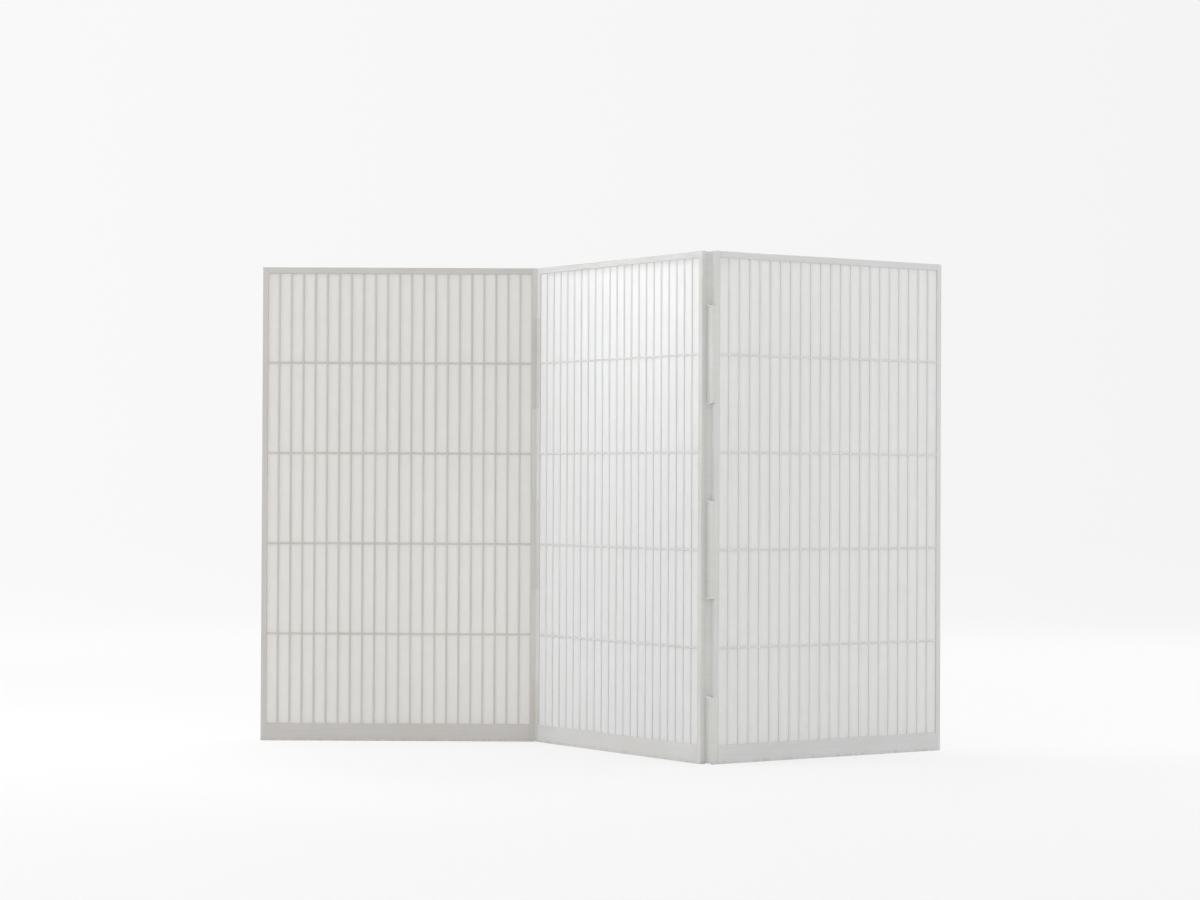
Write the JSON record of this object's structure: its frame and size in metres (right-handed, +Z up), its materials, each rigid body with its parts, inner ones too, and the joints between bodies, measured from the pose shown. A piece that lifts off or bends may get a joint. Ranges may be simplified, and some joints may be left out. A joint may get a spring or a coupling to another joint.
{
  "type": "folding screen",
  "caption": "Shoji folding screen: light wooden frames in a zigzag, each with a fine lattice over translucent paper, joined by interleaved soft hinge bands.",
  "frame": {"origin": "On the floor, under the centre of the standing screen's overall box.", "axes": "+Z up; +X to the right along the left panel, seen from the front; -Y towards the front, where the lattices show and the right fold stands nearest."},
  "size_m": [2.126, 0.7376, 1.5],
  "materials": {
    "frame_wood": "pale limed softwood, matt",
    "lattice_wood": "pale limed softwood, planed, matt",
    "shoji_paper": "white translucent fibre paper",
    "hinge_band": "close-woven pale cloth, pasted"
  },
  "bodies": {
    "centre_panel": {"centre_left_stile": "frame_wood", "centre_right_stile": "frame_wood", "centre_top_rail": "frame_wood", "centre_bottom_rail": "frame_wood", "centre_upright_bars": "lattice_wood", "centre_cross_bar_1": "lattice_wood", "centre_cross_bar_2": "lattice_wood", "centre_cross_bar_3": "lattice_wood", "centre_cross_bar_4": "lattice_wood", "centre_paper": "shoji_paper", "left_fold_band_1": "hinge_band", "left_fold_band_2": "hinge_band", "left_fold_band_3": "hinge_band", "left_fold_band_4": "hinge_band", "left_fold_band_5": "hinge_band", "left_fold_band_6": "hinge_band", "right_fold_band_1": "hinge_band", "right_fold_band_2": "hinge_band", "right_fold_band_3": "hinge_band", "right_fold_band_4": "hinge_band", "right_fold_band_5": "hinge_band", "right_fold_band_6": "hinge_band"},
    "left_panel": {"left_left_stile": "frame_wood", "left_right_stile": "frame_wood", "left_top_rail": "frame_wood", "left_bottom_rail": "frame_wood", "left_upright_bars": "lattice_wood", "left_cross_bar_1": "lattice_wood", "left_cross_bar_2": "lattice_wood", "left_cross_bar_3": "lattice_wood", "left_cross_bar_4": "lattice_wood", "left_paper": "shoji_paper"},
    "right_panel": {"right_left_stile": "frame_wood", "right_right_stile": "frame_wood", "right_top_rail": "frame_wood", "right_bottom_rail": "frame_wood", "right_upright_bars": "lattice_wood", "right_cross_bar_1": "lattice_wood", "right_cross_bar_2": "lattice_wood", "right_cross_bar_3": "lattice_wood", "right_cross_bar_4": "lattice_wood", "right_paper": "shoji_paper"}
  },
  "joints": [
    {"name": "left_fold", "type": "hinge", "parent": "centre_panel", "child": "left_panel", "pos_m": [-0.19329, 0.34996, 0.75], "axis": [0, 0, 1], "range_deg": [-54.8, 125.2], "deforming": ["left_fold_band_1", "left_fold_band_2", "left_fold_band_3", "left_fold_band_4", "left_fold_band_5", "left_fold_band_6"]},
    {"name": "right_fold", "type": "hinge", "parent": "centre_panel", "child": "right_panel", "pos_m": [0.33063, -0.35119, 0.75], "axis": [0, 0, 1], "range_deg": [-89.4, 90.6], "deforming": ["right_fold_band_1", "right_fold_band_2", "right_fold_band_3", "right_fold_band_4", "right_fold_band_5", "right_fold_band_6"]}
  ]
}
